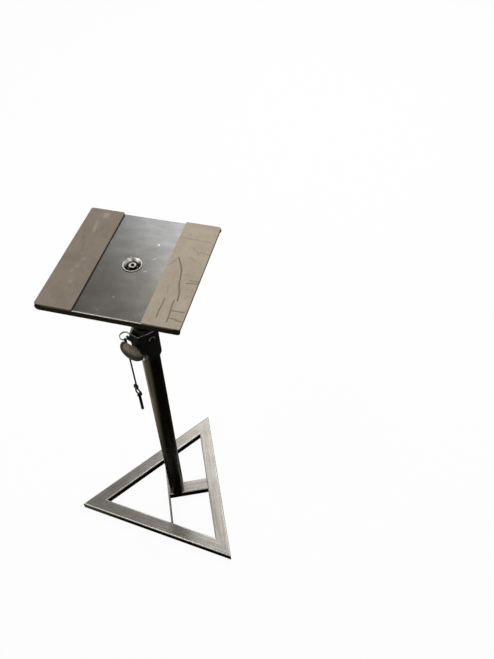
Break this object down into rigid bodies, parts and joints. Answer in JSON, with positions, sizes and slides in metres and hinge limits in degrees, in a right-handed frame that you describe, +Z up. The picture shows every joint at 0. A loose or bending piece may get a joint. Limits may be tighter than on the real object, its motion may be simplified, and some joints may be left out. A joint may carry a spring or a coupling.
{
  "type": "speaker stand",
  "caption": "Height-adjustable speaker stand with a triangular tube base, a clamped telescopic column with a pin on a lanyard, and a square padded platform.",
  "frame": {"origin": "on the floor, on the axis of the column", "axes": "+Z up along the column; +Y towards the sharp corner opposite the bar that carries the spoke; X along that bar"},
  "size_m": [0.387, 0.3821, 0.7985],
  "materials": {
    "black_paint": "satin powder coat, dusty on its upper faces",
    "black_plastic": "fine moulded texture",
    "zinc_steel": "zinc plated",
    "bright_steel": "polished, a little worn",
    "brass": "turned",
    "black_rubber": "matte",
    "foam": "closed-cell foam, matte, creased and scuffed",
    "nylon": "smooth",
    "cord_black": "braided cord"
  },
  "bodies": {
    "base": {"base_bar_back": "black_paint", "base_bar_right": "black_paint", "base_bar_left": "black_paint", "base_spoke": "black_paint", "base_crossbar": "black_paint", "foot_back_right": "black_rubber", "foot_back_left": "black_rubber", "foot_apex": "black_rubber", "column_tube": "black_paint", "column_plug": "zinc_steel", "column_bolt": "zinc_steel", "column_washer": "zinc_steel", "collar_housing": "black_plastic", "guide_bush": "nylon", "clamp_nut": "zinc_steel", "pinch_screw": "zinc_steel", "pinch_nut": "zinc_steel"},
    "glide": {"glide_ring": "nylon"},
    "mast": {"mast_tube": "black_paint", "mast_end_cap": "nylon", "mast_top_plug": "zinc_steel", "head_socket": "black_paint", "top_plate": "black_paint", "cup_washer": "bright_steel", "flat_washer": "zinc_steel", "spring_washer": "zinc_steel", "centre_bolt": "bright_steel", "foam_pad_left": "foam", "foam_pad_right": "foam"},
    "shoe": {"clamp_shoe": "brass"},
    "knob": {"clamp_stud": "zinc_steel", "stud_nut": "zinc_steel", "wing_knob": "black_plastic"},
    "ring": {"split_ring": "bright_steel"},
    "lanyard": {"lanyard_cap": "black_plastic", "lanyard_cord": "cord_black", "lanyard_crimp": "black_plastic"},
    "pin": {"locking_pin": "black_paint"}
  },
  "joints": [
    {"name": "height_slide", "type": "slide", "parent": "base", "child": "glide", "axis": [0, 0, 1], "range_m": [-0.11, 0.28]},
    {"name": "mast_swivel", "type": "hinge", "parent": "glide", "child": "mast", "pos_m": [0, 0, 0.207], "axis": [0, 0, 1], "continuous": true},
    {"name": "shoe_press", "type": "slide", "parent": "base", "child": "shoe", "axis": [-0.7071, 0.7071, 0], "range_m": [0, 0.0025]},
    {"name": "knob_turn", "type": "hinge", "parent": "shoe", "child": "knob", "pos_m": [-0.03111, 0.03111, 0.617], "axis": [-0.7071, 0.7071, 0], "range_deg": [0, 720]},
    {"name": "ring_swing", "type": "hinge", "parent": "base", "child": "ring", "pos_m": [-0.0087, 0.03161, 0.63], "axis": [0.7071, -0.7071, 0], "range_deg": [0, 85]},
    {"name": "lanyard_swing", "type": "hinge", "parent": "ring", "child": "lanyard", "pos_m": [-0.01126, 0.03697, 0.63], "axis": [0.1045, -0.9945, 0], "range_deg": [-4, 30]},
    {"name": "pin_swing", "type": "hinge", "parent": "lanyard", "child": "pin", "pos_m": [-0.01295, 0.03527, 0.463], "axis": [-0.7071, -0.7071, 0], "range_deg": [-80, 8]}
  ],
  "couplings": [
    {"joint": "knob_turn", "follows": "shoe_press", "rad_per_m": 5026.5}
  ]
}
